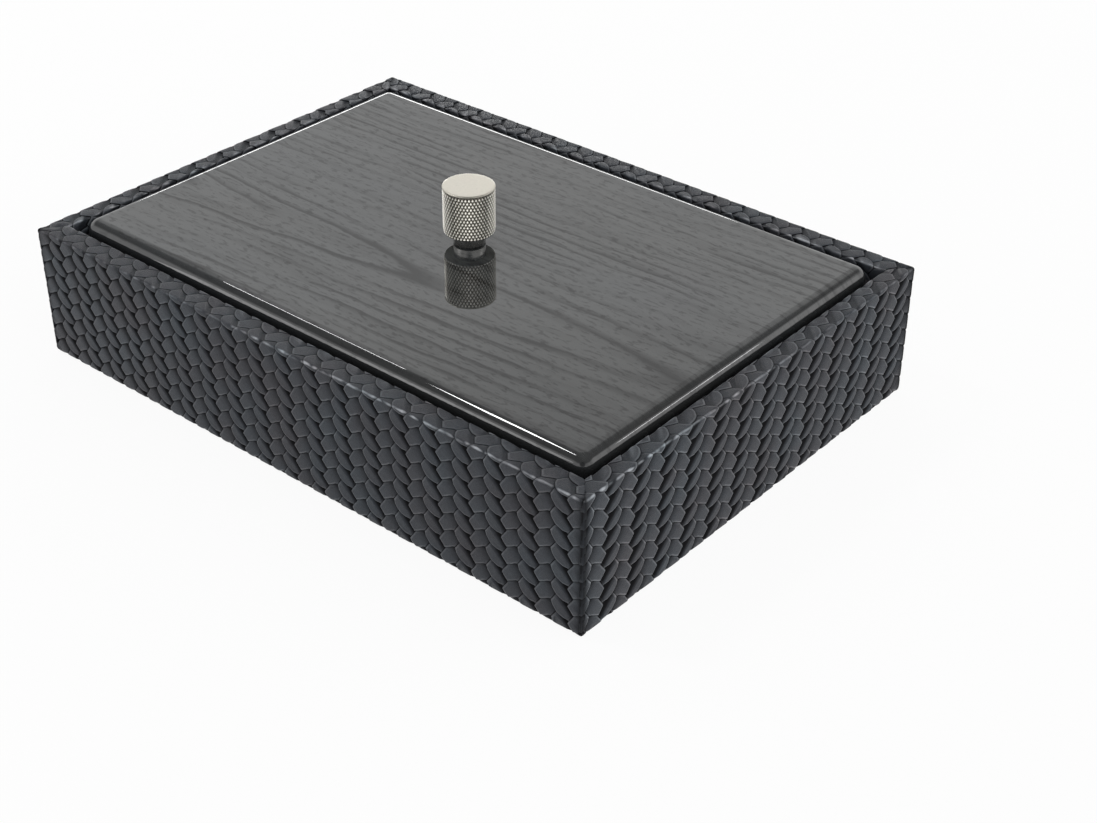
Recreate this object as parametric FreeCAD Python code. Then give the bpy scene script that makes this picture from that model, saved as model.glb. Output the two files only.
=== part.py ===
"""Leather-clad cufflink box with a lacquered lift-off lid and a knurled knob, in millimetres.

The case is a ring of mitred wall boards around a base board, clad in embossed leather that
runs up the outside, over the rim and down the inside.  Lining boards stand inside the leather
and stop below the rim, so that their tops are the ledge that the lid rests on.  Crossed
dividers make the compartments.  The lid is a panel with a rounded edge that sits inside the
rim with a shadow gap all round; a lined board under it drops between the lining boards and
keeps it in place.  A screw from below holds the knob.

The origin is the centre of the underside, +X along the case, +Y to the back, +Z up.
"""
import FreeCAD, Part
import os
from FreeCAD import Vector

# Case, over the leather
case_length = 250.0
case_width = 180.0
rim_height = 50.4
rim_radius = 1.0               # both edges of the rim

# Boards and skins of the case
leather_thickness = 1.5        # embossed leather, over its relief
side_board = 6.4               # front and back wall boards
end_board = 4.5                # left and right wall boards
base_board_thickness = 5.0
cover_thickness = 1.2          # cloth under the base
cover_margin = 0.5             # cloth edge inside the leather
leather_lift = 0.6             # lower edge of the leather above the table

# Lining and dividers
floor_lining_thickness = 2.0
floor_clearance = 0.3
lining_thickness = 6.0
lining_edge_radius = 1.0
divider_thickness = 3.0
divider_height = 25.0
divider_edge_radius = 0.8
divider_clearance = 0.2        # divider ends and halving slots
columns = 4                    # compartments along X
rows = 3                       # compartments along Y

# Lid
lid_thickness = 8.0
lid_proud = 2.15               # lid top above the rim
gap_ends = 2.5                 # shadow gap at the left and right
gap_sides = 3.1                # shadow gap at the front and back
lid_roundover = 4.8
lid_corner_radius = 5.0
lid_foot_radius = 0.8          # lower edge of the lid panel
lip_clearance = 0.8            # locating board inside the lining
locating_board_thickness = 4.0
lid_lining_thickness = 0.8

# Knob and its screw
neck_radius = 5.65
neck_height = 4.65
head_radius = 9.2
head_height = 17.2
head_top_radius = 0.7
head_foot_chamfer = 0.5
screw_radius = 2.0
screw_engagement = 9.0         # screw inside the knob head
screw_tip_room = 1.0           # empty end of the knob's threaded hole
screw_hole_clearance = 0.25    # screw in the lid panel, the neck and the washer
screw_head_radius = 3.8
socket_flat = 2.5              # hexagon socket, across its flats
socket_depth = 1.4
washer_radius = 6.0
washer_thickness = 1.0
washer_room = 1.0              # hole in the locating board around the washer

# Rectangles of the rings, as half lengths along X and Y
case_half = (case_length / 2, case_width / 2)
wall_outer = tuple(half - leather_thickness for half in case_half)
wall_inner = (wall_outer[0] - end_board, wall_outer[1] - side_board)
opening = tuple(half - leather_thickness for half in wall_inner)
interior = tuple(half - lining_thickness for half in opening)
lid_half = (opening[0] - gap_ends, opening[1] - gap_sides)
lip_half = tuple(half - lip_clearance for half in interior)

# Levels
base_top = cover_thickness + base_board_thickness
floor_top = base_top + floor_lining_thickness
lid_top = rim_height + lid_proud
ledge = lid_top - lid_thickness
lip_foot = ledge - locating_board_thickness - lid_lining_thickness
divider_top = floor_top + divider_height
slot_level = floor_top + divider_height / 2
head_foot = lid_top + neck_height
head_top = head_foot + head_height

# Sides of the case: the axis across each, and the side of the origin that it is on
sides = {"front": (1, -1), "back": (1, 1), "left": (0, -1), "right": (0, 1)}

cut_margin = 1.0               # how far a cutter reaches past what it cuts
tolerance = 1e-4               # for telling where an edge lies

parts = {}


def block(half, low, high):
    """A box centred on the origin in plan, between two levels."""
    corner = Vector(-half[0], -half[1], low)
    return Part.makeBox(2 * half[0], 2 * half[1], high - low, corner)


def bar(side, outer, inner, low, high):
    """A square-ended bar along one side, from the inner to the outer rectangle."""
    across, sign = sides[side]
    size, start = [0, 0, high - low], [0, 0, low]
    size[across] = outer[across] - inner[across]
    start[across] = inner[across] if sign > 0 else -outer[across]
    size[1 - across] = 2 * outer[1 - across]
    start[1 - across] = -outer[1 - across]
    return Part.makeBox(*size, Vector(*start))


def mitre(solid, side, outer, inner):
    """Cut a bar's ends along the lines through the corners of both rectangles."""
    across, sign = sides[side]
    overshoot = 0.3
    points = []
    for half, other, end in ((outer, inner, -1), (outer, inner, 1), (inner, outer, 1), (inner, outer, -1)):
        reach = [half[axis] + overshoot * (half[axis] - other[axis]) for axis in (0, 1)]
        point = [0, 0, -cut_margin]
        point[across] = sign * reach[across]
        point[1 - across] = end * reach[1 - across]
        points.append(Vector(*point))
    sector = Part.Face(Part.makePolygon(points + points[:1]))
    return solid.common(sector.extrude(Vector(0, 0, rim_height + 2 * cut_margin)))


def at_level(edge, level):
    """True for an edge that lies wholly at one level."""
    return all(abs(vertex.Point.z - level) < tolerance for vertex in edge.Vertexes)


def upright(edge):
    """True for a straight edge that runs along Z."""
    box = edge.BoundBox
    return box.XLength < tolerance and box.YLength < tolerance


def along_side(edge, side, level, half):
    """True for an edge along a side, at one level and on one rectangle."""
    across = sides[side][0]
    return at_level(edge, level) and all(
        abs(abs(vertex.Point[across]) - half[across]) < tolerance for vertex in edge.Vertexes)


def round_edges(solid, radius, wanted):
    """Fillet the edges that wanted picks."""
    return solid.makeFillet(radius, [edge for edge in solid.Edges if wanted(edge)])


def leather():
    """Four skins, each up the outside, over the rim and down the inside to the base board."""
    board_top = rim_height - leather_thickness
    for side in sides:
        skin = bar(side, case_half, opening, leather_lift, rim_height)
        for half in (case_half, opening):
            skin = round_edges(skin, rim_radius, lambda edge: along_side(edge, side, rim_height, half))
        skin = skin.cut(bar(side, wall_outer, wall_inner, 0, board_top))
        skin = skin.cut(bar(side, wall_inner, opening, 0, base_top))
        parts[side + "_leather"] = mitre(skin, side, case_half, opening)


def walls():
    """Four mitred wall boards."""
    for side in sides:
        board = bar(side, wall_outer, wall_inner, cover_thickness, rim_height - leather_thickness)
        parts[side + "_wall"] = mitre(board, side, wall_outer, wall_inner)


def base():
    """Base board between the walls, and the cloth that covers it underneath."""
    parts["base_board"] = block(wall_inner, cover_thickness, base_top)
    cover_half = tuple(half - cover_margin for half in wall_outer)
    parts["base_cover"] = block(cover_half, 0, cover_thickness)


def lining():
    """Lined floor, and the lining boards whose tops are the ledge of the lid."""
    floor_half = tuple(half - floor_clearance for half in opening)
    parts["floor_lining"] = block(floor_half, base_top, floor_top)
    for side in sides:
        board = bar(side, opening, interior, floor_top, ledge)
        board = round_edges(board, lining_edge_radius, lambda edge: along_side(edge, side, ledge, interior))
        parts[side + "_lining"] = mitre(board, side, opening, interior)


def divider_places(count, half):
    """Centre lines of the dividers that part a span into equal compartments."""
    clear = (2 * half - (count - 1) * divider_thickness) / count
    step = clear + divider_thickness
    return [-half + clear + divider_thickness / 2 + step * index for index in range(count - 1)]


def dividers():
    """Crossed dividers, halved over each other like an egg crate."""
    cross_places = divider_places(columns, interior[0])
    long_places = divider_places(rows, interior[1])
    half_thick = divider_thickness / 2
    slot = half_thick + divider_clearance / 2
    top_edge = lambda edge: at_level(edge, divider_top)
    for number, y in enumerate(long_places, 1):
        board = block((interior[0] - divider_clearance, half_thick), floor_top, divider_top)
        board = round_edges(board, divider_edge_radius, top_edge)
        for x in cross_places:
            cutter = block((slot, divider_thickness), slot_level, divider_top + cut_margin)
            cutter.translate(Vector(x, 0, 0))
            board = board.cut(cutter)
        board.translate(Vector(0, y, 0))
        parts["long_divider_%d" % number] = board
    for number, x in enumerate(cross_places, 1):
        board = block((half_thick, interior[1] - divider_clearance), floor_top, divider_top)
        board = round_edges(board, divider_edge_radius, top_edge)
        for y in long_places:
            cutter = block((divider_thickness, slot), floor_top - cut_margin, slot_level)
            cutter.translate(Vector(0, y, 0))
            board = board.cut(cutter)
        board.translate(Vector(x, 0, 0))
        parts["cross_divider_%d" % number] = board


def shaft(radius, low, high):
    """An upright cylinder on the knob's axis."""
    return Part.makeCylinder(radius, high - low, Vector(0, 0, low))


def lid():
    """Lid panel, and the lined board under it that drops between the lining boards."""
    hole = screw_radius + screw_hole_clearance
    panel = round_edges(block(lid_half, ledge, lid_top), lid_corner_radius, upright)
    panel = round_edges(panel, lid_roundover, lambda edge: at_level(edge, lid_top))
    panel = round_edges(panel, lid_foot_radius, lambda edge: at_level(edge, ledge))
    parts["lid_panel"] = panel.cut(shaft(hole, ledge - cut_margin, lid_top + cut_margin))
    board_half = tuple(half - lid_lining_thickness for half in lip_half)
    board_foot = ledge - locating_board_thickness
    board = block(board_half, board_foot, ledge)
    recess = shaft(washer_radius + washer_room, board_foot - cut_margin, ledge + cut_margin)
    parts["lid_locating_board"] = board.cut(recess)
    skin = round_edges(block(lip_half, lip_foot, ledge), lining_edge_radius, upright)
    skin = round_edges(skin, lid_lining_thickness / 2, lambda edge: at_level(edge, lip_foot))
    parts["lid_lining"] = skin.cut(block(board_half, board_foot, ledge + cut_margin))


def knob():
    """Knob head on its neck, with the screw and washer that hold it from below."""
    hole = screw_radius + screw_hole_clearance
    head = shaft(head_radius, head_foot, head_top)
    head = round_edges(head, head_top_radius, lambda edge: at_level(edge, head_top))
    foot = [edge for edge in head.Edges if at_level(edge, head_foot)]
    head = head.makeChamfer(head_foot_chamfer, foot)
    screw_tip = head_foot + screw_engagement
    parts["knob_head"] = head.cut(shaft(screw_radius, head_foot - cut_margin, screw_tip + screw_tip_room))
    neck = shaft(neck_radius, lid_top, head_foot)
    parts["knob_neck"] = neck.cut(shaft(hole, lid_top - cut_margin, head_foot + cut_margin))
    washer_foot = ledge - washer_thickness
    washer = shaft(washer_radius, washer_foot, ledge)
    parts["knob_washer"] = washer.cut(shaft(hole, washer_foot - cut_margin, ledge + cut_margin))
    screw_foot = ledge - locating_board_thickness
    screw = shaft(screw_head_radius, screw_foot, washer_foot)
    screw = screw.fuse(shaft(screw_radius, washer_foot, screw_tip)).removeSplitter()
    parts["knob_screw"] = screw.cut(hex_socket(screw_foot))


def hex_socket(foot):
    """Hexagon socket in the underside of the screw head."""
    size = socket_flat / 3 ** 0.5
    turn = FreeCAD.Rotation(Vector(0, 0, 1), 60)
    point = Vector(size, 0, foot - cut_margin)
    points = [point]
    for _ in range(6):
        point = turn.multVec(point)
        points.append(point)
    return Part.Face(Part.makePolygon(points)).extrude(Vector(0, 0, socket_depth + cut_margin))


base()
walls()
leather()
lining()
dividers()
lid()
knob()

os.makedirs("parts", exist_ok=True)
for node, shape in parts.items():
    shape.exportStep(os.path.join("parts", node + ".step"))
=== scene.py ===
"""Dresses the cufflink box: embossed leather, lacquered lid, knurled knob and suede lining.

Sizes inside the modelling code are millimetres; a finished mesh is scaled to metres.
"""
import math
from collections import namedtuple
import bmesh
import bpy
from bpy.props import FloatProperty, FloatVectorProperty, IntProperty, PointerProperty
from mathutils import Matrix, Quaternion, Vector, noise


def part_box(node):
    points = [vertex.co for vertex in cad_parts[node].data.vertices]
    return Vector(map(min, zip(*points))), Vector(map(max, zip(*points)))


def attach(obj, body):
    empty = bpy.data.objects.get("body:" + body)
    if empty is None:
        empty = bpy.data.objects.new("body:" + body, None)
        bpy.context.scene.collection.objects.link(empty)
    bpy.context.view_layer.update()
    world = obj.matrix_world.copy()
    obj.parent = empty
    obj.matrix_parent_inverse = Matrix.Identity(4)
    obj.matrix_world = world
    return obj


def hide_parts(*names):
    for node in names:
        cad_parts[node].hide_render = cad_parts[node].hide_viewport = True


bl_info = {
    "name": "Cufflink box",
    "version": (1, 0, 0),
    "blender": (4, 5, 0),
    "location": "3D View > Sidebar > Cufflink box",
    "description": "Leather, lid, knob, lining and studio for a cufflink box",
    "category": "Object",
}

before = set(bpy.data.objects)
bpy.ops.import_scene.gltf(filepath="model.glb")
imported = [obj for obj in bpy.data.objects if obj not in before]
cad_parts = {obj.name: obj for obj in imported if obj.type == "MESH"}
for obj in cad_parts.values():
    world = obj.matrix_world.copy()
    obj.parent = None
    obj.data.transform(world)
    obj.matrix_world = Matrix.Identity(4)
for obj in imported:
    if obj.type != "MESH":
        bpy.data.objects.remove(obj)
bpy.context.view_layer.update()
MM = 0.001


def node_box(name):
    """Lowest and highest corner of a frame node, in millimetres."""
    low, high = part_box(name)
    return low / MM, high / MM


SKIN_LOW, SKIN_HIGH = node_box("front_leather")
END_LOW, END_HIGH = node_box("right_leather")
PANEL_LOW, PANEL_HIGH = node_box("lid_panel")
HEAD_LOW, HEAD_HIGH = node_box("knob_head")
NECK_LOW, NECK_HIGH = node_box("knob_neck")


# ---------------- settings

def length(name, description, default, low, high):
    """A length that a user may change."""
    return FloatProperty(name=name, description=description + ", in millimetres", default=default,
                         min=low, max=high)


def paint(name, description, default):
    """A colour that a user may change."""
    return FloatVectorProperty(name=name, description=description, subtype="COLOR", default=default,
                               min=0.0, max=1.0)


class LeatherSettings(bpy.types.PropertyGroup):
    """Relief and colour of the leather."""
    relief_depth: length("Relief depth", "From the raised edges to the deepest pockets", 1.2, 0.2, 1.3)
    rim_share: FloatProperty(name="Rim relief", description="Share of the relief that is left on the rim",
                             default=0.6, min=0.0, max=1.0, subtype="FACTOR")
    edge_radius: length("Edge radius", "Rounding of the rim's edges", 1.0, 0.6, 2.5)
    corner_radius: length("Corner radius", "Rounding of the upright corners", 1.2, 0.2, 2.0)
    colour: paint("Leather colour", "Colour of the raised leather", (0.035, 0.039, 0.047))
    # painted highlight on the strands' edges and along the rim's edges
    edge_colour: paint("Edge colour", "Colour of the rubbed edges", (0.400, 0.420, 0.450))
    # painted shade down in the creases and where strands dive
    painted_crease_shade: paint("Crease colour", "Colour down in the creases", (0.002, 0.002, 0.003))


class LidSettings(bpy.types.PropertyGroup):
    """Lid panel and its wood."""
    roundover: length("Roundover", "Rounding of the upper edge", 4.8, 0.5, 4.9)
    corner_radius: length("Corner radius", "Rounding of the corners", 5.0, 4.9, 8.0)
    foot_radius: length("Foot radius", "Rounding of the lower edge", 0.8, 0.1, 2.0)
    wood_colour: paint("Wood colour", "Stained oak between the pores", (0.036, 0.0385, 0.0395))
    # painted shade on the lid's rounded edges and down its side
    edge_colour: paint("Edge colour", "Stain on the rounded edges", (0.022, 0.023, 0.024))
    grain_colour: paint("Grain colour", "Darker lines of the grain", (0.012, 0.0125, 0.013))


class KnobSettings(bpy.types.PropertyGroup):
    """Knurled knob head and its neck."""
    diamonds: IntProperty(name="Diamonds", description="Diamonds around the head", default=46, min=12, max=90)
    diamond_height: length("Diamond height", "Height of a diamond", 2.2, 0.5, 5.0)
    knurl_depth: length("Knurl depth", "From the tips to the valleys", 0.48, 0.05, 0.6)
    plain_band: length("Plain band", "Plain band below the top edge", 0.4, 0.3, 4.0)
    colour: paint("Nickel colour", "Plate on the head", (0.617, 0.589, 0.515))


class LiningSettings(bpy.types.PropertyGroup):
    """Suede lining of the inside and under the lid."""
    edge_radius: length("Edge radius", "Soft edges of the boards", 1.0, 0.2, 1.4)
    colour: paint("Suede colour", "Suede lining", (0.045, 0.043, 0.045))


class StageSettings(bpy.types.PropertyGroup):
    """Camera, lamps and floor."""
    lens: FloatProperty(name="Lens", description="Focal length on a 36 mm sensor", default=59.97,
                        min=20, max=200)
    lamp_power: FloatProperty(name="Lamp power", description="Power of the left lamp", default=1.7,
                              min=0.0, max=200.0, subtype="POWER")
    surround: FloatProperty(name="Surround", description="Level of the soft light from all round",
                            default=0.9, min=0.0, max=2.0)
    floor_colour: paint("Floor colour", "Colour of the floor", (0.90, 0.90, 0.90))


# ---------------- materials

def new_material(name):
    """A material with an empty node tree but for a Principled shader and the output."""
    material = bpy.data.materials.new(name)
    material.use_nodes = True
    return material, material.node_tree, material.node_tree.nodes["Principled BSDF"]


def feed(socket, value):
    """Link a node's output to a socket, or set the socket's own value."""
    if isinstance(value, bpy.types.NodeSocket):
        socket.id_data.links.new(value, socket)
    else:
        socket.default_value = value


def add(tree, kind, inputs=(), **settings):
    """A node of a kind, with its settings and its input values or links."""
    node = tree.nodes.new("ShaderNode" + kind)
    for key, value in settings.items():
        setattr(node, key, value)
    for key, value in dict(inputs).items():
        feed(node.inputs[key], value)
    return node


def ramp(tree, value, stops):
    """A colour ramp over a value; stops are (place, colour) or (place, grey)."""
    node = add(tree, "ValToRGB", {0: value})
    while len(node.color_ramp.elements) < len(stops):
        node.color_ramp.elements.new(0.5)
    for element, (place, colour) in zip(node.color_ramp.elements, stops):
        element.position = place
        element.color = (*((colour,) * 3 if isinstance(colour, float) else colour), 1)
    return node.outputs[0]


def mix(tree, factor, a, b, blend="MIX"):
    """Mix of two colours."""
    node = tree.nodes.new("ShaderNodeMix")
    node.data_type, node.blend_type = "RGBA", blend
    for key, value in ((0, factor), (6, a), (7, b)):
        feed(node.inputs[key], (*value, 1) if isinstance(value, tuple) else value)
    return node.outputs[2]


def maths(tree, operation, a, b=0.0, clamp=False):
    """One sum on two values."""
    return add(tree, "Math", {0: a, 1: b}, operation=operation, use_clamp=clamp).outputs[0]


def times(tree, a, b):
    """Product of two values."""
    return maths(tree, "MULTIPLY", a, b)


def total(tree, *values):
    """Sum of several values."""
    result = values[0]
    for value in values[1:]:
        result = maths(tree, "ADD", result, value)
    return result


def object_coords(tree, scale=(1, 1, 1)):
    """Object coordinates, stretched by a scale along each axis."""
    coords = add(tree, "TexCoord").outputs["Object"]
    return add(tree, "Mapping", {"Vector": coords, "Scale": scale}).outputs[0]


def noise_of(tree, coords, scale=1.0, detail=3.0, roughness=0.5, distortion=0.0):
    """Value of a noise texture."""
    return add(tree, "TexNoise", {"Vector": coords, "Scale": scale, "Detail": detail,
                                  "Roughness": roughness, "Distortion": distortion}).outputs[0]


def scaled(tree, vector, scale):
    """A vector with each part multiplied."""
    return add(tree, "VectorMath", {0: vector, 1: scale}, operation="MULTIPLY").outputs[0]


def toward(tree, vector, direction):
    """How far a vector points along a direction."""
    return add(tree, "VectorMath", {0: vector, 1: direction}, operation="DOT_PRODUCT").outputs["Value"]


def bump(tree, shader, height, distance, strength=1.0, socket="Normal"):
    """Relief finer than the mesh, with its height in metres."""
    node = add(tree, "Bump", {"Height": height, "Distance": distance, "Strength": strength})
    feed(shader.inputs[socket], node.outputs[0])


def set_inputs(shader, **values):
    """Link or set a shader's sockets; an underscore in a name stands for a space."""
    for name, value in values.items():
        feed(shader.inputs[name.replace("_", " ")], value)


def leather_material(settings):
    """Charcoal leather: painted shade in the creases, painted highlights on the edges, fine grain and pull
    lines, satin.
    """
    material, tree, shader = new_material("Embossed leather")
    coords = object_coords(tree)
    level = add(tree, "Attribute", attribute_name="tone").outputs["Fac"]
    edge_light = add(tree, "Attribute", attribute_name="wear").outputs["Fac"]
    # painted highlight on the strands' edges and the rim's edges
    base = mix(tree, edge_light, tuple(settings.colour), tuple(settings.edge_colour))
    # painted shade: near black in the creases and dive pockets
    base = mix(tree, level, tuple(settings.painted_crease_shade), base)
    cloud = noise_of(tree, coords, 60.0, 2.0)
    tint = ramp(tree, cloud, [(0.3, (0.96, 0.88, 0.86)), (0.7, (0.96, 1.02, 1.03))])
    base = mix(tree, 1.0, base, tint, "MULTIPLY")
    pores = add(tree, "TexVoronoi", {"Vector": coords, "Scale": 2600.0, "Randomness": 1.0},
                feature="DISTANCE_TO_EDGE").outputs["Distance"]
    pull = noise_of(tree, coords, 1100.0, 3.0, 0.6)
    base = mix(tree, 1.0, base, ramp(tree, pull, [(0.3, 0.82), (0.7, 1.14)]), "MULTIPLY")
    sheen = total(tree, times(tree, level, -0.40), times(tree, edge_light, -0.20))
    rough = maths(tree, "ADD", total(tree, times(tree, pull, 0.10), 0.80), sheen, True)
    soft = times(tree, ramp(tree, pores, [(0.0, 0.0), (0.16, 1.0)]), 0.5)
    bump(tree, shader, total(tree, soft, pull), 0.00013, 0.7)
    set_inputs(shader, Base_Color=base, Roughness=rough, Specular_IOR_Level=0.18)
    return material


def growth_rings(tree, place, wander):
    """How dark the growth lines of a board sawn beside the heart are, with one cathedral arch."""
    lean = times(tree, place[0], -0.035)
    across = total(tree, place[1], 0.029, lean, wander)
    along = times(tree, total(tree, place[0], 0.118), 0.0015)
    ring = maths(tree, "SQRT", total(tree, times(tree, across, across), along))
    growth = maths(tree, "FRACT", total(tree, times(tree, ring, 200.0), 0.3))
    line = ramp(tree, growth, [(0.0, 1.0), (0.12, 0.6), (0.30, 0.0), (0.88, 0.0), (0.97, 1.0)])
    patches = noise_of(tree, object_coords(tree, (14.0, 60.0, 14.0)), 1.0, 2.0)
    arch = ramp(tree, times(tree, ring, 30.0), [(0.37, 0.0), (0.40, 1.0), (0.43, 1.0), (0.46, 0.0)])
    fade = maths(tree, "MAXIMUM", ramp(tree, patches, [(0.42, 0.1), (0.62, 0.9)]), arch)
    return times(tree, line, fade)


def wood_material(settings):
    """Stained oak with cathedral grain and pores under a clear gloss lacquer."""
    material, tree, shader = new_material("Lacquered oak")
    place = add(tree, "SeparateXYZ", {0: object_coords(tree)}).outputs
    slow = noise_of(tree, object_coords(tree, (5.0, 22.0, 5.0)), 1.0, 3.0, 0.55)
    quick = noise_of(tree, object_coords(tree, (34.0, 150.0, 34.0)), 1.0, 2.0, 0.5)
    wander = total(tree, times(tree, slow, 0.008), times(tree, quick, 0.0042))
    wander = maths(tree, "SUBTRACT", wander, 0.0061)
    y = total(tree, place[1], wander)
    bent = add(tree, "CombineXYZ", {0: place[0], 1: y}).outputs[0]
    pores = noise_of(tree, scaled(tree, bent, (230.0, 950.0, 1.0)), 1.0, 2.0, 0.55)
    streaks = noise_of(tree, scaled(tree, bent, (14.0, 220.0, 1.0)), 1.0, 3.0, 0.55)
    dark = total(tree, growth_rings(tree, place, wander),
                 times(tree, ramp(tree, streaks, [(0.48, 0.0), (0.62, 1.0)]), 0.25))
    pores = times(tree, ramp(tree, pores, [(0.55, 0.0), (0.62, 1.0)]), 0.6)
    dark = maths(tree, "ADD", dark, pores, True)
    colour = mix(tree, dark, tuple(settings.wood_colour), tuple(settings.grain_colour))
    # painted shade on the rounded edges and side, starting 4 mm inside the panel and full 2 mm on
    past = [maths(tree, "SUBTRACT", maths(tree, "ABSOLUTE", place[axis]),
                  (PANEL_HIGH[axis] - 4.0) * MM) for axis in (0, 1)]
    rounded = maths(tree, "DIVIDE", maths(tree, "MAXIMUM", *past), 0.002, True)
    colour = mix(tree, rounded, colour, tuple(settings.edge_colour))
    cloud = noise_of(tree, object_coords(tree, (10.0, 26.0, 10.0)), 1.0, 1.0)
    tint = ramp(tree, cloud, [(0.35, (0.95, 0.98, 1.0)), (0.65, (1.0, 0.985, 0.95))])
    set_inputs(shader, Base_Color=mix(tree, 1.0, colour, tint, "MULTIPLY"), Roughness=0.55,
               Specular_IOR_Level=0.0, Coat_Weight=maths(tree, "SUBTRACT", 1.0, times(tree, dark, 0.31)),
               Coat_Roughness=0.015, Coat_IOR=1.82)
    flow = noise_of(tree, object_coords(tree), 60.0, 2.0)
    bump(tree, shader, total(tree, times(tree, dark, -0.05), flow), 0.00003, 0.5, "Coat Normal")
    return material


def metal_material(name, colour, roughness, turned=False):
    """Plated metal; where it was turned, fine turning rings, painted shade in the knurl's valleys and painted
    highlights on its tips.
    """
    material, tree, shader = new_material(name)
    coords = object_coords(tree)
    cloud = noise_of(tree, coords, 900.0, 3.0, 0.6)
    base = ramp(tree, cloud, [(0.3, tuple(0.92 * part for part in colour)), (0.7, tuple(colour))])
    relief = cloud
    if turned:
        tone = add(tree, "Attribute", attribute_name="tone").outputs["Fac"]
        # painted shade: near black in the knurl's valleys; then a painted highlight, near white, on its tips
        base = mix(tree, ramp(tree, tone, [(0.10, 0.0), (0.22, 1.0)]), (0.004, 0.004, 0.004), base)
        base = mix(tree, ramp(tree, tone, [(0.50, 0.0), (0.60, 1.0)]), base, (0.97, 0.95, 0.90))
        place = add(tree, "SeparateXYZ", {0: coords}).outputs
        squares = [times(tree, place[axis], place[axis]) for axis in (0, 1)]
        rings = maths(tree, "SINE", times(tree, maths(tree, "SQRT", total(tree, *squares)), 42000.0))
        relief = total(tree, times(tree, rings, 0.3), cloud)
    rough = total(tree, times(tree, cloud, 0.12), roughness - 0.06)
    set_inputs(shader, Base_Color=base, Metallic=1.0, Roughness=rough)
    bump(tree, shader, relief, 0.000004, 0.5)
    return material


def suede_material(settings):
    """Suede-like lining with a brushed nap."""
    material, tree, shader = new_material("Suede lining")
    nap = noise_of(tree, object_coords(tree), 2400.0, 4.0, 0.7)
    brushed = noise_of(tree, object_coords(tree, (30.0, 55.0, 40.0)), 1.0, 3.0, 0.5, 0.6)
    shades = [tuple(share * part for part in settings.colour) for share in (0.78, 1.2)]
    base = ramp(tree, brushed, [(0.3, shades[0]), (0.7, shades[1])])
    flecks = ramp(tree, nap, [(0.3, 0.7), (0.7, 1.0)])
    set_inputs(shader, Base_Color=mix(tree, 1.0, base, flecks, "MULTIPLY"), Roughness=0.95,
               Specular_IOR_Level=0.2, Sheen_Weight=0.35, Sheen_Roughness=0.45,
               Sheen_Tint=(0.5, 0.48, 0.5, 1))
    bump(tree, shader, nap, 0.00012, 0.6)
    return material


def board_material():
    """Fibreboard of the walls and base."""
    material, tree, shader = new_material("Fibreboard")
    fibres = noise_of(tree, object_coords(tree), 1500.0, 5.0, 0.7)
    base = ramp(tree, fibres, [(0.3, (0.30, 0.21, 0.13)), (0.7, (0.42, 0.30, 0.19))])
    set_inputs(shader, Base_Color=base, Roughness=0.85)
    bump(tree, shader, fibres, 0.0001, 0.5)
    return material


def cloth_material():
    """Black woven cloth under the base."""
    material, tree, shader = new_material("Base cloth")
    place = add(tree, "SeparateXYZ", {0: object_coords(tree, (5200.0, 5200.0, 5200.0))}).outputs
    weave = times(tree, *(maths(tree, "SINE", place[axis]) for axis in (0, 1)))
    base = ramp(tree, weave, [(0.0, (0.016, 0.016, 0.018)), (1.0, (0.045, 0.045, 0.048))])
    set_inputs(shader, Base_Color=base, Roughness=0.9, Specular_IOR_Level=0.25)
    bump(tree, shader, weave, 0.00015, 0.6)
    return material


# ---------------- modelling helpers

def new_object(name, data):
    """A new object in the scene."""
    made = bpy.data.objects.new(name, data)
    bpy.context.scene.collection.objects.link(made)
    return made


def object_from(name, shape, material):
    """A new object from a bmesh and its material."""
    mesh = bpy.data.meshes.new(name)
    shape.to_mesh(mesh)
    shape.free()
    mesh.materials.append(material)
    return new_object(name, mesh)


def finish_piece(name, shape, material, body, replaced, faceted=lambda face: False, scale=MM):
    """Turn a bmesh in millimetres into a piece that rides on a body."""
    bmesh.ops.scale(shape, vec=(scale,) * 3, verts=shape.verts)
    for face in shape.faces:
        face.smooth = not faceted(face)
    piece = object_from(name, shape, material)
    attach(piece, body)
    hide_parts(*replaced)


def verts_of(items):
    """The points among what an operator made."""
    return [item for item in items if isinstance(item, bmesh.types.BMVert)]


def extend(shape, edges):
    """Extrude a ring of edges; gives the new points and the new ring, still in place."""
    made = bmesh.ops.extrude_edge_only(shape, edges=edges)["geom"]
    verts = verts_of(made)
    ring = [item for item in made if isinstance(item, bmesh.types.BMEdge)
            and all(vert in verts for vert in item.verts)]
    return verts, ring


def outward(shape):
    """Point every face of a closed shape outwards."""
    bmesh.ops.recalc_face_normals(shape, faces=shape.faces)


def box_shape(low, high):
    """A box between two corners."""
    shape = bmesh.new()
    bmesh.ops.create_cube(shape, size=1)
    size, middle = Vector(high) - Vector(low), (Vector(high) + Vector(low)) / 2
    bmesh.ops.scale(shape, vec=size, verts=shape.verts)
    bmesh.ops.translate(shape, vec=middle, verts=shape.verts)
    return shape


def round_edges(shape, radius, segments, *tests):
    """Round the edges that pass every test."""
    edges = [edge for edge in shape.edges if all(test(edge) for test in tests)]
    bmesh.ops.bevel(shape, geom=edges, offset=radius, segments=segments, profile=0.5, affect="EDGES",
                    material=-1)


def upright(edge):
    """True for an edge along Z."""
    a, b = (vert.co for vert in edge.verts)
    return abs(a.x - b.x) < 1e-4 and abs(a.y - b.y) < 1e-4


def at_level(level, axis=2):
    """A test for edges that lie at one level along an axis."""
    return lambda edge: all(abs(vert.co[axis] - level) < 1e-4 for vert in edge.verts)


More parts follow.
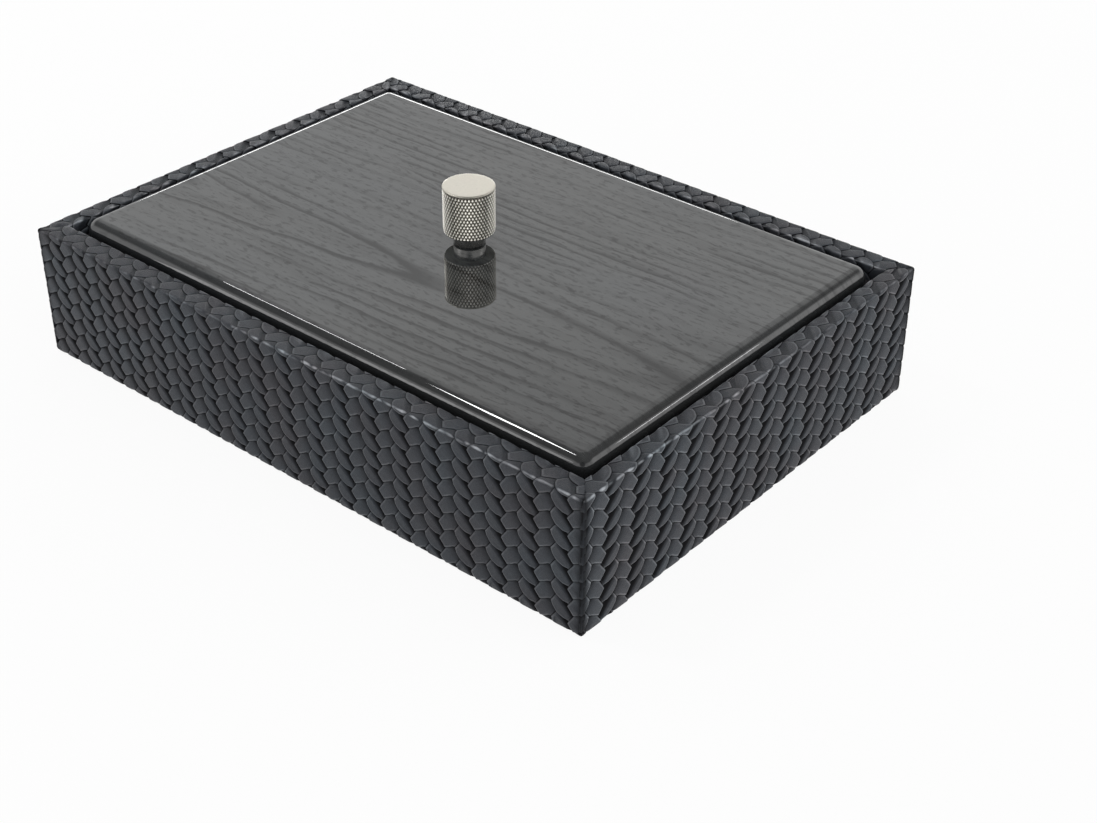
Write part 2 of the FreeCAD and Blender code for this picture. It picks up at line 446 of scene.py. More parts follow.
def lathe(profile, segments):
    """A closed turned shape from (radius, level) points that start and end on the axis."""
    shape = bmesh.new()
    verts = [shape.verts.new((radius, 0, level)) for radius, level in profile]
    edges = [shape.edges.new(pair) for pair in zip(verts, verts[1:])]
    bmesh.ops.spin(shape, geom=verts + edges, cent=(0, 0, 0), axis=(0, 0, 1), angle=2 * math.pi,
                   steps=segments, use_merge=True)
    bmesh.ops.remove_doubles(shape, verts=shape.verts, dist=1e-4)
    outward(shape)
    return shape


# ---------------- leather

# Steps to the next column of the plait and to the row above, on the long and the short sides.
LONG_STEPS = (12.84, 0.08), (-0.125, 6.396)
SHORT_STEPS = (-13.17, 0.34), (0.23, 6.354)
COLUMN, ROW = map(Vector, LONG_STEPS)
MERGE = 0.01                           # points of the flat plait that are this near are one

# Outlines in millimetres from the lower tip of a strand's end, with the height of the crease
# between neighbours, as a share of the relief.  The end is where a strand comes out on top; the
# loop is where it passes over the strand beside it.
TIP, END_LOW_1, END_LOW_2 = (0, 0, 0.1), (1.75, 0.87, 0.25), (3.2, 1.75, 0.25)
HEEL, HEEL_SIDE, NOTCH = (4.135, 1.964, 0.2), (5.1, 3.45, 0.0), (6.115, 4.984, 0.2)
END_LEFT, LEFT_MID = (-2.25, 2.62, 0.02), (-1.12, 1.28, 0.0)
LOOP_END, SEAM_MID, SEAM_TOP = (-2.05, 3.2, 0.3), (-1.35, 4.3, 0.5), (-0.42, 5.62, 0.35)
LOOP_1, LOOP_2 = (-8.25, 6.7, 0.3), (-7.17, 5.37, 0.3)
LOOP_3, LOOP_4, LOOP_5 = (-5.75, 4.28, 0.2), (-4.08, 3.62, 0.05), (-2.6, 3.45, 0.0)
# How much painted highlight the rounded edge beside a point gets, for the end and for the loop.
END_HIGHLIGHT = [1.0, 0.7, 0.55, 0.4, 0.1, 0.0, 0.0, 0.0, 0.0, 0.1, 0.25, 0.35, 0.45, 0.5, 0.6, 1.0, 1.0]
LOOP_HIGHLIGHT = [0.2, 0.55, 0.9, 0.8, 0.75, 0.75, 0.75, 0.75, 0.75, 0.6, 0.2] + [0.0] * 8
# The way a loop dives, and the levels between which painted shade darkens the leather.
DIVE = Vector((0.71, 0.704, 0.0))
DARK_LEVEL, LIGHT_LEVEL = 0.3, 0.85
# Rings inside an outline: how far in from the last one, how much lower than the strand's own
# level, how light against the crease's painted black shade, and how much of the painted edge
# highlight shows.
RINGS = ((0.21, 0.42, 0.0, 0.0), (0.17, 0.20, 0.85, 1.0), (0.30, 0.07, 1.0, 0.7), (0.36, 0.0, 1.0, 0.1))
# What each point carries: its painted shade, its painted edge highlight, and its painted shade if no strand
# dived.
LAYERS = ("tone", "wear", "flat")

SKIN_THICKNESS = 1.5
INSIDE_REACH = 8.0                     # leather modelled down the inside of the rim
SEAM_INSET, SEAM_HALF_WIDTH = 0.9, 0.32
# One side of the case: where the tip of one strand's end lies, quarter turns from the front, half
# its length, how far out it and its inside lie, half the length of the opening beside it, its
# steps, how early its loops dive, and how strong the painted highlights on its edges are.
Side = namedtuple("Side", "tip turn half distance inner opening column row reach polish")


def shifted(columns, rows, *points):
    """Outline points moved by whole steps of the plait."""
    step = COLUMN * columns + ROW * rows
    return [(x + step.x, y + step.y, crease) for x, y, crease in points]


END_OUTLINE = [TIP, END_LOW_1, END_LOW_2, HEEL, HEEL_SIDE, NOTCH, *shifted(1, 0, LOOP_2, LOOP_1),
               *shifted(0, 1, HEEL, END_LOW_2, END_LOW_1, TIP),
               SEAM_TOP, SEAM_MID, LOOP_END, END_LEFT, LEFT_MID]
LOOP_OUTLINE = [*shifted(-1, 1, NOTCH, HEEL_SIDE, HEEL), LOOP_1, LOOP_2, *shifted(-1, 0, NOTCH),
                LOOP_3, LOOP_4, LOOP_5, LOOP_END, SEAM_MID, SEAM_TOP,
                *shifted(0, 1, TIP, LEFT_MID, END_LEFT, LOOP_END, LOOP_5, LOOP_4, LOOP_3)]


def end_level(x, y):
    """Height of a strand's end: high at the lower left, sinking to the upper right."""
    run = max(0.0, (x + 1.1) * 0.87 + (y - 1.3) * 0.5)
    tuck = max(0.0, 1.3 + (y - ROW.y) - 0.5 * x)
    return 1.0 - 0.0085 * run ** 2 - 0.13 * tuck


def loop_level(x, y, reach):
    """Height of a loop: a level band along its free edge, then a dive under the next strand."""
    dive = (x + 6.85) * 0.71 + (y - 11.3) * 0.704 + reach
    end = 1 + ((x + 2.05) * 0.83 - (y - 3.2) * 0.55) / 1.6
    bow = (x + 5.6) * 0.704 - (y - 6.3) * 0.71
    return 0.95 - min(0.95, max(0.0, dive) * 0.62) - 0.22 * max(0.0, end) - 0.006 * bow ** 2


def strand(shape, outline, wears, level, cuts):
    """One cell of the plait: its outline at the creases, rounded up in rings to its own level."""
    tone, wear, flat = (shape.verts.layers.float[key] for key in LAYERS)
    corners = []
    for x, y, crease in outline:
        found = [vert for vert in shape.verts
                 if abs(vert.co.x - x) < MERGE and abs(vert.co.y - y) < MERGE]
        corners.append(found[0] if found else shape.verts.new((x, y, crease)))
    cell = shape.faces.new(corners)
    lowered = []
    for thickness, drop, light, share in RINGS:
        bmesh.ops.inset_individual(shape, faces=[cell], thickness=thickness, use_even_offset=True)
        for vert, (_, _, crease), edge_light in zip(cell.verts, outline, wears):
            top = max(0.0, level(vert.co.x, vert.co.y))
            step = min(1.0, max(0.0, (top - crease) / 0.5))
            lowered.append((vert, top - drop * step))
            # painted shade: black at the crease, lighter on the rings, darker where the strand lies low;
            # painted highlight on the rounded edge
            vert[tone], vert[flat] = light * blend_step(top, DARK_LEVEL, LIGHT_LEVEL), light
            vert[wear] = edge_light * share
    for vert, height in lowered:
        vert.co.z = height
    inner = [cell]
    for place in cuts:
        parts = {part for face in inner for part in (*face.verts, *face.edges, face)}
        made = bmesh.ops.bisect_plane(shape, geom=list(parts), dist=1e-4, plane_co=DIVE * place,
                                      plane_no=DIVE)
        inner = [part for part in made["geom"] if isinstance(part, bmesh.types.BMFace)]
    # painted shade inside the cell, darker where the strand lies low
    for vert in {vert for face in inner for vert in face.verts}:
        vert.co.z = max(0.0, level(vert.co.x, vert.co.y))
        vert[tone], vert[flat] = blend_step(vert.co.z, DARK_LEVEL, LIGHT_LEVEL), 1.0


def plait_tile(reach):
    """The two cells that repeat over the leather, flat, with heights from 0 to 1."""
    shape = bmesh.new()
    for key in LAYERS:
        shape.verts.layers.float.new(key)
    strand(shape, END_OUTLINE, END_HIGHLIGHT, end_level, (2.0, 3.6, 5.2, 6.8))
    start = 3.1 - reach
    strand(shape, LOOP_OUTLINE, LOOP_HIGHLIGHT, lambda x, y: loop_level(x, y, reach),
           [start + step for step in (-1.2, -0.5, 0.0, 0.35, 0.7, 1.05, 1.4, 2.0)])
    return shape


def repeat(shape, step, count):
    """Copies of the whole shape, each one step further, joined where they meet."""
    first = shape.verts[:] + shape.edges[:] + shape.faces[:]
    for number in range(1, count):
        copy = bmesh.ops.duplicate(shape, geom=first)["geom"]
        bmesh.ops.translate(shape, vec=(*(step * number), 0), verts=verts_of(copy))
    bmesh.ops.remove_doubles(shape, verts=shape.verts, dist=MERGE)


def blend_step(value, low, high):
    """Smooth step from 0 at low to 1 at high."""
    part = min(1.0, max(0.0, (value - low) / (high - low)))
    return part * part * (3 - 2 * part)


def peak(offset, spread):
    """1 at no offset, falling to 0 at the spread on both sides."""
    return max(0.0, 1 - abs(offset) / spread)


def cut(shape, place, normal, dist=1e-4, clear=False):
    """Cut a whole shape along a plane, and clear what lies beyond it if asked."""
    geometry = shape.verts[:] + shape.edges[:] + shape.faces[:]
    bmesh.ops.bisect_plane(shape, geom=geometry, dist=dist, plane_co=place, plane_no=normal,
                           clear_outer=clear)


def laid_plait(side, length):
    """The plait laid flat over one side and beyond, on the side's own columns and rows."""
    shape = plait_tile(side.reach)
    repeat(shape, ROW, int(length / side.row[1]) + 5)
    repeat(shape, COLUMN, int(2 * side.half / abs(side.column[0])) + 5)
    column, row, start = Vector(side.column), Vector(side.row), Vector(side.tip)
    fit = Matrix((column, row)).transposed() @ Matrix((COLUMN, ROW)).transposed().inverted()
    while start.y > SKIN_LOW.z - 14:
        start -= row
    edge = math.copysign(side.half + 16, -column.x)
    while (start.x - edge) * column.x > 0:
        start -= column
    for vert in shape.verts:
        place = fit @ Vector((vert.co.x, vert.co.y)) + start
        wobble = noise.noise_vector(Vector((place.x * 0.35, place.y * 0.35, side.turn)))
        vert.co.x = place.x + 0.16 * wobble.x
        vert.co.y = place.y + 0.16 * wobble.y
    return shape


def trim_and_crease(shape, side, up, arc, across):
    """Keep what the side needs, with extra lines where it bends and along its upright seams."""
    low, length = SKIN_LOW.z, up + arc + across + arc + INSIDE_REACH
    for place, normal in (((0, low, 0), (0, -1, 0)), ((0, low + length, 0), (0, 1, 0)),
                          ((side.half + 1, 0, 0), (1, 0, 0)), ((-side.half - 1, 0, 0), (-1, 0, 0))):
        cut(shape, place, normal, clear=True)
    bends = [up + arc * share for share in (0, 0.12, 0.3, 0.5, 0.7, 0.88, 1)]
    bends += [up + arc + across + arc * share for share in (0, 0.2, 0.45, 0.7, 1)]
    for bend in bends:
        cut(shape, (0, low + bend, 0), (0, 1, 0), 1e-3)
    for end in (-1, 1):
        for aside in (-SEAM_HALF_WIDTH, 0, SEAM_HALF_WIDTH):
            cut(shape, (end * (side.half - SEAM_INSET) + aside, 0, 0), (1, 0, 0), 1e-3)


def settle(settings, side, vert, layers, way, up, arc, across):
    """Painted shade and painted edge highlights for one point of the skin; gives how far it sinks below the
    outline.
    """
    tone, wear, flat = layers
    x, level, turn = vert.co.x, vert.co.z, side.turn
    in_view = turn < 2
    # relief is pressed flatter over the rim, on its outer edge, at the corners and at the foot
    kept = settings.rim_share * (0.5 if in_view else 1.0)
    press = 1 - (1 - kept) * blend_step(way, up - 1.4, up + arc * 0.2)
    press *= 1 - 0.5 * peak(way - up - arc / 2, arc)
    press *= 0.4 + 0.6 * blend_step(side.half - abs(x), 0.4, 2.6)
    press *= 0.5 + 0.5 * blend_step(way, 0.0, 1.6)
    puff = noise.noise(Vector((x * 0.12, vert.co.y * 0.12, 5 + turn))) * 0.05
    level = min(1.0, max(0.0, level + puff * level))
    # painted shade: lighter over the rim, painted darker creases at the left end of the front, dark at the
    # seams
    top = blend_step(way, up - 0.8, up + arc)
    left_end_shading = 1 - blend_step(x, -100, -20) if turn == 0 else 0.0
    nook = abs(side.half - abs(x) - SEAM_INSET)
    vert[tone] = vert[tone] * (1 - 0.7 * top) + (0.06 + 0.64 * vert[flat]) * top
    vert[tone] **= 1 + 2.0 * left_end_shading * (1 - top)
    vert[tone] *= 0.3 + 0.7 * blend_step(nook, 0.2, 1.5)
    # painted highlights on the strands' edges, stronger on the short sides, with a faint painted sheen at the
    # left end of the front, and painted glints in patches along both edges of the rim, brighter towards the
    # front right corner
    highlighted = max(0.0, noise.noise(Vector((x * 0.4, vert.co.y * 0.4, 9 + turn))) * 2.2 + 0.5)
    vert[wear] *= ((0.8 + puff * 6) * side.polish * (1 - 0.5 * top) * (1 - 0.4 * left_end_shading)
                   * blend_step(nook, 0.8, 2.6))
    vert[wear] += 0.05 * left_end_shading * (1 - top)
    outer = 0.0
    if in_view:
        nearer = blend_step(x if turn == 0 else -x, -40, 20)
        outer = peak(way - up - arc / 2, arc * 0.4) * (0.3 + 0.8 * nearer)
    inside = peak(way - up - across - arc * 1.3, arc * 0.4) * (0.45 if in_view else 0.8)
    vert[wear] = max(vert[wear], highlighted * max(outer, inside) * vert[flat])
    sink = settings.relief_depth * (1 - level) * press + 0.5 * (1 - blend_step(way, 0.0, 0.9)) ** 2
    if abs(abs(x) - (side.half - SEAM_INSET)) < 0.02 and turn % 2 == 0:
        sink, vert[tone], vert[wear] = max(sink, 0.3), 0.0, 0.0
    return sink


def folded(settings, side, way, up, arc, across):
    """Where a point that far up the skin lies across the wall, and which way is out there."""
    radius, rim = settings.edge_radius, SKIN_HIGH.z
    if way < up:
        return -side.distance, SKIN_LOW.z + way, (-1, 0)
    if way < up + arc:
        angle = (way - up) / radius
        out = (-math.cos(angle), math.sin(angle))
        return -side.distance + radius + radius * out[0], rim - radius + radius * out[1], out
    if way < up + arc + across:
        return -side.distance + radius + (way - up - arc), rim, (0, 1)
    if way < up + 2 * arc + across:
        angle = (way - up - arc - across) / radius
        out = (math.sin(angle), math.cos(angle))
        return -side.inner - radius + radius * out[0], rim - radius + radius * out[1], out
    return -side.inner, rim - radius - (way - up - 2 * arc - across), (1, 0)


def leather_skin(settings, side):
    """One side of the case's leather, in millimetres: outside, rim and upper inside."""
    radius = settings.edge_radius
    up, arc = SKIN_HIGH.z - radius - SKIN_LOW.z, radius * math.pi / 2
    across = (side.distance - side.inner) - 2 * radius
    shape = laid_plait(side, up + arc + across + arc + INSIDE_REACH)
    trim_and_crease(shape, side, up, arc, across)
    layers = [shape.verts.layers.float[key] for key in LAYERS]
    for vert in shape.verts:
        fold = (vert.co.y - SKIN_LOW.z, up, arc, across)
        sink = settle(settings, side, vert, layers, *fold)
        y, z, out = folded(settings, side, *fold)
        vert.co = Vector((vert.co.x, y - out[0] * sink, z - out[1] * sink))
    for end in (-1, 1):
        mitre = (end * (side.distance - side.inner), side.half - side.opening, 0)
        cut(shape, (end * side.half, -side.distance, 0), mitre, clear=True)
    close_back(shape, side)
    for vert in shape.verts:
        round_corner(vert, side, settings.corner_radius)
    turned = Matrix.Rotation(side.turn * math.pi / 2, 3, "Z")
    bmesh.ops.rotate(shape, cent=(0, 0, 0), matrix=turned, verts=shape.verts)
    outward(shape)
    return shape


def close_back(shape, side):
    """Close a skin with a plain back against the wall board."""
    outer, inner = -side.distance + SKIN_THICKNESS, -side.inner - SKIN_THICKNESS
    top = SKIN_HIGH.z - SKIN_THICKNESS
    border = [edge for edge in shape.edges if edge.is_boundary]
    verts = verts_of(bmesh.ops.extrude_edge_only(shape, edges=border)["geom"])
    for vert in verts:
        vert.co.y = min(max(vert.co.y, outer), inner)
        vert.co.z = min(vert.co.z, top)
    bmesh.ops.remove_doubles(shape, verts=verts, dist=1e-4)
    brink = [vert for vert in shape.verts if vert.is_boundary and abs(vert.co.z - top) < 1e-4]
    for fold in (outer, inner):
        pair = sorted((vert for vert in brink if abs(vert.co.y - fold) < 1e-4), key=lambda vert: vert.co.x)
        shape.edges.new((pair[0], pair[-1]))
    for on_plane in (at_level(outer, 1), at_level(top), at_level(inner, 1)):
        ring = [edge for edge in shape.edges if (edge.is_boundary or edge.is_wire) and on_plane(edge)]
        bmesh.ops.contextual_create(shape, geom=ring)


def round_corner(vert, side, radius):
    """Move a point of the square upright corner onto a rounded one."""
    for sign in (-1, 1):
        centre = Vector((sign * (side.half - radius), -(side.distance - radius)))
        away = Vector(((vert.co.x - centre.x) * sign, -(vert.co.y - centre.y)))
        if away.x > 0 and away.y > 0:
            away = away.normalized() * max(away.x, away.y)
            vert.co.x, vert.co.y = centre.x + sign * away.x, centre.y - away.y


class BOX_OT_leather(bpy.types.Operator):
    """Make the four sides of plaited, embossed leather"""
    bl_idname = "cufflink_box.leather"
    bl_label = "Leather"

    def execute(self, context):
        settings = context.scene.box_leather
        material = leather_material(settings)
        long_side = (SKIN_HIGH.x, -SKIN_LOW.y, -SKIN_HIGH.y, END_LOW.x, *LONG_STEPS, 0.5, 0.46)
        short_side = (END_HIGH.y, END_HIGH.x, END_LOW.x, -SKIN_HIGH.y, *SHORT_STEPS, 1.5, 0.74)
        sides = {"front": Side((95.1, 38.8), 0, *long_side), "right": Side((-54.1, 41.6), 1, *short_side),
                 "back": Side((88.0, 40.0), 2, *long_side), "left": Side((-48.0, 41.0), 3, *short_side)}
        for name, side in sides.items():
            finish_piece(name + "_embossed_leather", leather_skin(settings, side), material, "case",
                         [name + "_leather"])
        return {"FINISHED"}


# ---------------- lid and knob

class BOX_OT_lid(bpy.types.Operator):
    """Make the lacquered lid panel"""
    bl_idname = "cufflink_box.lid"
    bl_label = "Lid"

    def execute(self, context):
        settings = context.scene.box_lid
        shape = box_shape(PANEL_LOW, PANEL_HIGH)
        round_edges(shape, settings.corner_radius, 10, upright)
        round_edges(shape, settings.roundover, 10, at_level(PANEL_HIGH.z))
        round_edges(shape, settings.foot_radius, 4, at_level(PANEL_LOW.z))
        flats = [face for face in shape.faces if face.calc_area() > 400]
        bmesh.ops.inset_individual(shape, faces=flats, thickness=0.15)
        outward(shape)
        finish_piece("lacquered_lid_panel", shape, wood_material(settings), "lid",
                     ["lid_panel"])
        return {"FINISHED"}


class BOX_OT_knob(bpy.types.Operator):
    """Make the knurled knob head and its neck"""
    bl_idname = "cufflink_box.knob"
    bl_label = "Knob"

    def execute(self, context):
        settings = context.scene.box_knob
        self.make_head(settings)
        self.make_neck()
        return {"FINISHED"}

    @staticmethod
    def make_head(settings):
        """Head: a plain top with a rounded edge over a band of raised diamonds."""
        radius, foot, top = HEAD_HIGH.x, HEAD_LOW.z, HEAD_HIGH.z
        chamfer, rounding, blunt = 0.5, 0.4, 0.12
        band_top = top - rounding - settings.plain_band
        band_foot = foot + chamfer
        rows = 2 * round((band_top - band_foot) / settings.diamond_height)
        step = (band_top - band_foot) / rows
        columns = 2 * settings.diamonds
        shape = bmesh.new()
        tone = shape.verts.layers.float.new("tone")
        bmesh.ops.create_circle(shape, cap_ends=False, radius=radius, segments=columns)
        bmesh.ops.translate(shape, vec=(0, 0, band_foot), verts=shape.verts)
        ring = shape.edges[:]
        for _ in range(rows):
            verts, ring = extend(shape, ring)
            bmesh.ops.translate(shape, vec=(0, 0, step), verts=verts)
        turn = 2 * math.pi / columns
        valleys = []
        for vert in shape.verts:
            row = round((vert.co.z - band_foot) / step)
            column = round(math.atan2(vert.co.y, vert.co.x) / turn)
            if (row + column) % 2 == 0:
                share = (radius - settings.knurl_depth) / radius
                valleys.append(vert)
            else:
                share = (radius - blunt) / radius if row in (0, rows) else 1.0
            vert.co.x, vert.co.y = vert.co.x * share, vert.co.y * share
        bmesh.ops.connect_verts(shape, verts=valleys)
        # top: out to the plain band, over the rounded edge and in to the middle
        profile = [(radius - 0.06, band_top + 0.1), (radius, band_top + 0.28), (radius, top - rounding)]
        for part in range(1, 7):
            angle = math.pi / 2 * part / 6
            profile.append((radius - rounding * (1 - math.cos(angle)),
                            top - rounding * (1 - math.sin(angle))))
        profile += [(radius - rounding - 0.4, top), (1.0, top)]
        open_edges = [edge for edge in shape.edges if edge.is_boundary]
        middle = (foot + top) / 2
        cap_off(shape, [edge for edge in open_edges if edge.verts[0].co.z > middle], profile)
        cap_off(shape, [edge for edge in open_edges if edge.verts[0].co.z < middle],
                [(radius - chamfer, foot), (radius - chamfer - 0.15, foot), (2.4, foot)])
        # painted shading: 1 on the knurled band for a painted highlight on the tips, 0 in the valleys for
        # painted shade, 0.5 elsewhere for plain metal
        for vert in shape.verts:
            vert[tone] = 1.0 if band_foot - 0.01 < vert.co.z < band_top + 0.01 else 0.5
        for vert in valleys:
            vert[tone] = 0.0
        outward(shape)

        def knurled(face):
            return band_foot * MM < face.calc_center_median().z < (band_top + 0.01) * MM

        finish_piece("knurled_knob_head", shape, metal_material("Satin nickel", settings.colour, 0.30, True),
                     "lid", ["knob_head"], knurled)

    @staticmethod
    def make_neck():
        """Neck: a polished spool between the lid and the head."""
        radius, foot, top = NECK_HIGH.x, NECK_LOW.z, NECK_HIGH.z
        edge, recess, lip = 0.2, 0.6, foot + 0.4
        profile = [(0, foot), (radius - recess, foot), (radius - recess, lip), (radius - edge, lip),
                   (radius - 0.06, lip + 0.06), (radius, lip + edge), (radius, top - edge - 0.1),
                   (radius, top - edge), (radius - 0.06, top - 0.06), (radius - edge, top), (0, top)]
        finish_piece("polished_knob_neck", lathe(profile, 96),
                     metal_material("Polished nickel", (0.62, 0.61, 0.59), 0.26), "lid",
                     ["knob_neck"])


def cap_off(shape, edges, profile):
    """Carry an open ring along (radius, level) steps and close it with a flat face."""
    for radius, level in profile:
        verts, edges = extend(shape, edges)
        for vert in verts:
            flat = Vector((vert.co.x, vert.co.y)).normalized() * radius
            vert.co = Vector((flat.x, flat.y, level))
    bmesh.ops.contextual_create(shape, geom=edges)


# ---------------- lining and other parts

class BOX_OT_lining(bpy.types.Operator):
    """Make the suede-covered boards, dividers, floor and the lined board under the lid"""
    bl_idname = "cufflink_box.lining"
    bl_label = "Lining"

    def execute(self, context):
        settings = context.scene.box_lining
        suede = suede_material(settings)
        for side in ("front", "back", "left", "right"):
            self.make_board(side, settings, suede)
        for node in [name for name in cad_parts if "divider" in name]:
            self.make_divider(node, suede)
        low, high = node_box("floor_lining")
        floor = box_shape(low, high)
        round_edges(floor, 0.5, 3, at_level(high.z))
        finish_piece("suede_floor", floor, suede, "case", ["floor_lining"])
        self.make_lid_lining(suede)
        return {"FINISHED"}

    @staticmethod
    def make_board(side, settings, suede):
        """A board with its ends cut to a mitre and its upper inner edge rounded."""
        low, high = node_box(side + "_lining")
        shape = box_shape(low, high)
        along, across = (0, 1) if side in ("front", "back") else (1, 0)
        inner, outer = (high, low) if side in ("front", "left") else (low, high)
        thick = high[across] - low[across]
        for vert in shape.verts:
            if abs(vert.co[across] - inner[across]) < 1e-4:
                vert.co[along] -= math.copysign(thick, vert.co[along])
        round_edges(shape, settings.edge_radius, 5, at_level(high.z), at_level(inner[across], across))
        round_edges(shape, 0.35, 3, at_level(high.z), at_level(outer[across], across))
        outward(shape)
        finish_piece(side + "_suede_board", shape, suede, "case", [side + "_lining"])

    @staticmethod
    def make_divider(node, suede):
        """A divider's own outline, with its flat faces merged and shaded smooth."""
        shape = bmesh.new()
        shape.from_mesh(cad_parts[node].data)
        bmesh.ops.remove_doubles(shape, verts=shape.verts, dist=1e-6)
        bmesh.ops.dissolve_limit(shape, angle_limit=math.radians(1), verts=shape.verts,
                                 edges=shape.edges)
        finish_piece("suede_" + node, shape, suede, "case", [node], scale=1.0)

    @staticmethod
    def make_lid_lining(suede):
        """The shallow tray of suede around the locating board."""
        low, high = node_box("lid_lining")
        shape = box_shape(low, high)
        round_edges(shape, 1.0, 5, upright)
        round_edges(shape, 0.6, 4, at_level(low.z))
        outward(shape)
        finish_piece("lid_suede", shape, suede, "lid", ["lid_lining"])


class BOX_OT_boards(bpy.types.Operator):
    """Finish the boards, the base cloth and the screw"""
    bl_idname = "cufflink_box.boards"
    bl_label = "Boards and screw"

    def execute(self, context):
        board, cloth = board_material(), cloth_material()
        steel = metal_material("Zinc plated steel", (0.55, 0.55, 0.55), 0.32)
        plans = {"wall": board, "base_board": board, "lid_locating_board": board, "base_cover": cloth,
                 "knob_screw": steel, "knob_washer": steel}
        for name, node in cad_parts.items():
            for word, material in plans.items():
                if ("_" + name).endswith("_" + word):
                    node.data.materials.clear()
                    node.data.materials.append(material)
        return {"FINISHED"}


# ---------------- stage

def shown_white(tree, surface, share):
    """Mix a surface with plain white where it is seen directly or in gloss and glass."""
    rays = add(tree, "LightPath").outputs
    seen = maths(tree, "MAXIMUM", rays["Is Camera Ray"], rays["Is Glossy Ray"])
    seen = maths(tree, "MAXIMUM", seen, rays["Is Transmission Ray"])
    white = add(tree, "Emission", {"Color": (1, 1, 1, 1)})
    return add(tree, "MixShader", {0: maths(tree, "MULTIPLY", seen, share), 1: surface, 2: white.outputs[0]})


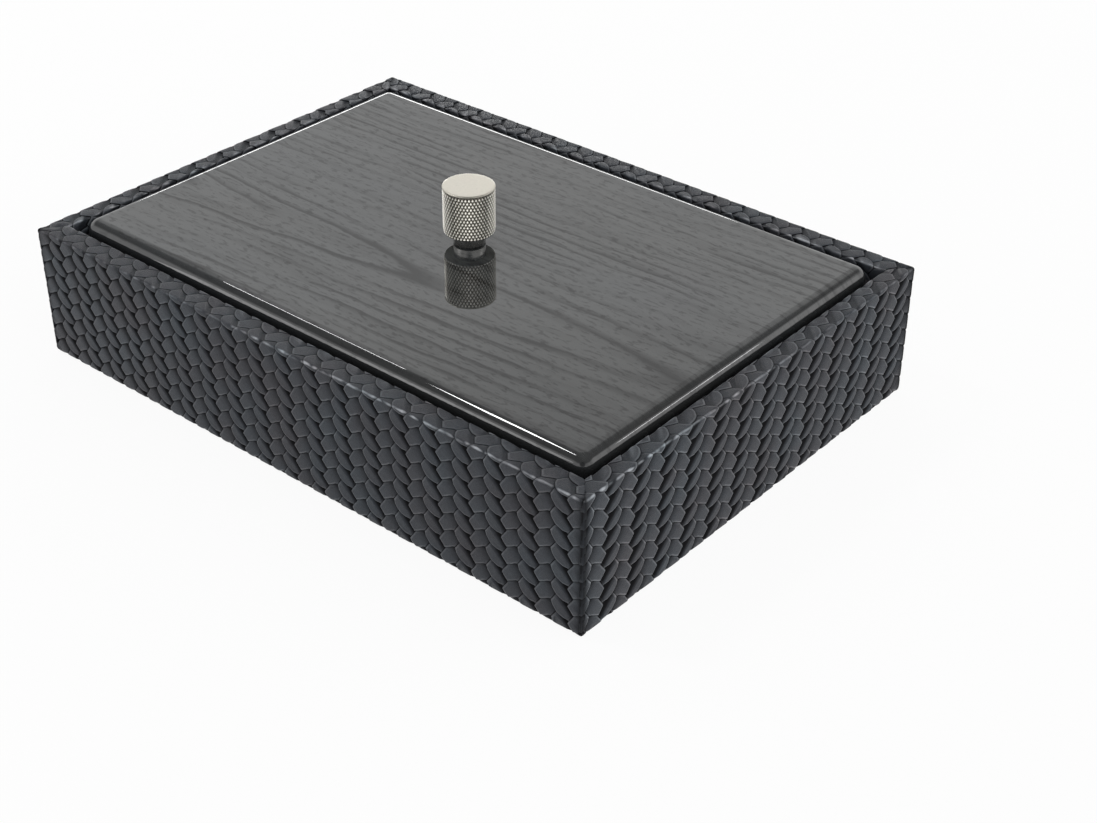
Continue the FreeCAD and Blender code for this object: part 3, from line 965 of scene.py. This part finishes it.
class BOX_OT_stage(bpy.types.Operator):
    """Make the camera, the lamps, the floor and the white surround"""
    bl_idname = "cufflink_box.stage"
    bl_label = "Stage"

    def execute(self, context):
        settings = context.scene.box_stage
        scene = context.scene
        scene.view_settings.view_transform = "Standard"
        self.make_camera(scene, settings)
        self.make_floor(settings)
        self.make_world(scene, settings)
        lamps = (("Left lamp", (-0.602, -0.38, 1.12), (0.15, 0.16), 1.0),
                 ("Backdrop light", (1.10, 0.93, 0.50), (0.90, 0.60), 0.28),
                 ("Right lamp", (0.674, 0.576, 0.394), (0.20, 0.03), 0.09),
                 ("Top strip", (-0.805, 0.062, 0.996), (0.22, 0.04), 0.25, (0.314, -0.007, 0.152)),
                 ("Front lamp", (-0.67, -0.96, 0.25), (0.55, 0.40), 0.55),
                 ("Low strip", (-0.846, 0.876, 0.281), (0.80, 0.10), 1.25))
        for name, place, size, share, *along in lamps:
            self.make_lamp(name, place, size, share * settings.lamp_power, *along)
        return {"FINISHED"}

    @staticmethod
    def make_camera(scene, settings):
        """Camera at the box's front right, looking down on it."""
        camera = new_object("Camera", bpy.data.cameras.new("Camera"))
        camera.data.sensor_width, camera.data.lens = 36.0, settings.lens
        camera.data.clip_start, camera.data.clip_end = 0.01, 50
        camera.location = (0.38169, -0.41359, 0.35335)
        look = Vector((-0.53481, 0.64065, -0.55095)).to_track_quat("-Z", "Y")
        camera.rotation_mode = "QUATERNION"
        camera.rotation_quaternion = look @ Quaternion((0, 0, 1), 0.0095)
        scene.camera = camera

    @staticmethod
    def make_floor(settings):
        """A wide pale floor that keeps the box's shadow."""
        shape = bmesh.new()
        bmesh.ops.create_circle(shape, cap_ends=True, radius=6.0, segments=96)
        material, tree, shader = new_material("Pale floor")
        dust = noise_of(tree, object_coords(tree), 8.0, 2.0)
        colour = tuple(settings.floor_colour)
        base = ramp(tree, dust, [(0.3, colour), (0.7, tuple(1.02 * part for part in colour))])
        set_inputs(shader, Base_Color=base, Roughness=0.9, Specular_IOR_Level=0.0)
        surface = shown_white(tree, shader.outputs[0], 0.92)
        feed(tree.nodes["Material Output"].inputs["Surface"], surface.outputs[0])
        floor = object_from("floor", shape, material)

    @staticmethod
    def make_world(scene, settings):
        """Even grey light on the box, white where it is seen."""
        world = bpy.data.worlds.new("Surround")
        scene.world = world
        world.use_nodes = True
        tree = world.node_tree
        tree.nodes.clear()
        way = add(tree, "TexCoord").outputs["Generated"]
        along_x, _, height = add(tree, "SeparateXYZ", {0: way}).outputs
        soft = ramp(tree, height, [(0.50, 1.0), (0.95, 0.62)])
        side = ramp(tree, along_x, [(0.0, 0.72), (1.0, 2.1)])
        light = add(tree, "Background", {"Color": mix(tree, 1.0, soft, side, "MULTIPLY"),
                                         "Strength": settings.surround})
        # what gloss mirrors: a pale room, dimmer above except behind the box, dark round the camera
        sky = ramp(tree, height, [(0.40, 0.95), (0.50, 1.0), (0.57, 0.74)])
        behind = toward(tree, way, (-0.60, 0.72, 0.35))
        dim = ramp(tree, behind, [(0.60, 0.30), (0.72, 0.40), (0.80, 1.0)])
        above = mix(tree, ramp(tree, height, [(0.42, 0.0), (0.55, 1.0)]), (1.0, 1.0, 1.0), dim)
        front = toward(tree, way, (0.58, -0.69, 0.43))
        opening = ramp(tree, front, [(0.0, 1.0), (0.92, 1.0), (0.97, 0.12), (1.0, 0.08)])
        shown = mix(tree, 1.0, mix(tree, 1.0, sky, opening, "MULTIPLY"), above, "MULTIPLY")
        mirrored = add(tree, "Background", {"Color": shown})
        rays = add(tree, "LightPath").outputs
        seen = maths(tree, "MAXIMUM", rays["Is Glossy Ray"], rays["Is Transmission Ray"])
        lit = add(tree, "MixShader", {0: seen, 1: light.outputs[0], 2: mirrored.outputs[0]})
        plain = add(tree, "Background", {"Color": (1, 1, 1, 1)})
        both = add(tree, "MixShader", {0: rays["Is Camera Ray"], 1: lit.outputs[0], 2: plain.outputs[0]})
        add(tree, "OutputWorld", {"Surface": both.outputs[0]})

    @staticmethod
    def make_lamp(name, place, size, power, along=None):
        """A rectangular softbox aimed at the box, its longer side level or along a direction."""
        lamp = new_object(name, bpy.data.lights.new(name, "AREA"))
        lamp.data.shape, lamp.data.size, lamp.data.size_y = "RECTANGLE", *size
        lamp.data.energy = power
        lamp.location = place
        away = (Vector(place) - Vector((0, 0, 0.05))).normalized()
        side = Vector(along) if along else Vector((-away.y, away.x, 0))
        side = (side - away * side.dot(away)).normalized()
        turn = Matrix((side, away.cross(side), away)).transposed()
        lamp.rotation_mode = "QUATERNION"
        lamp.rotation_quaternion = turn.to_quaternion()


class BOX_PT_panel(bpy.types.Panel):
    """Sidebar panel that lists the pieces"""
    bl_idname = "BOX_PT_panel"
    bl_label = "Cufflink box"
    bl_space_type = "VIEW_3D"
    bl_region_type = "UI"
    bl_category = "Cufflink box"

    def draw(self, context):
        for operator in OPERATORS:
            self.layout.operator(operator.bl_idname)
        for name in SETTINGS:
            group = getattr(context.scene, name)
            for key in group.__annotations__:
                self.layout.prop(group, key)


OPERATORS = (BOX_OT_stage, BOX_OT_leather, BOX_OT_lid, BOX_OT_knob, BOX_OT_lining, BOX_OT_boards)
SETTINGS = {"box_leather": LeatherSettings, "box_lid": LidSettings, "box_knob": KnobSettings,
            "box_lining": LiningSettings, "box_stage": StageSettings}


def register():
    for name, group in SETTINGS.items():
        bpy.utils.register_class(group)
        setattr(bpy.types.Scene, name, PointerProperty(type=group))
    for operator in OPERATORS:
        bpy.utils.register_class(operator)
    bpy.utils.register_class(BOX_PT_panel)


def unregister():
    bpy.utils.unregister_class(BOX_PT_panel)
    for operator in OPERATORS:
        bpy.utils.unregister_class(operator)
    for name, group in SETTINGS.items():
        delattr(bpy.types.Scene, name)
        bpy.utils.unregister_class(group)


def main():
    """Make every piece."""
    register()
    for operator in OPERATORS:
        folder, action = operator.bl_idname.split(".")
        getattr(getattr(bpy.ops, folder), action)()


if __name__ == "__main__":
    main()
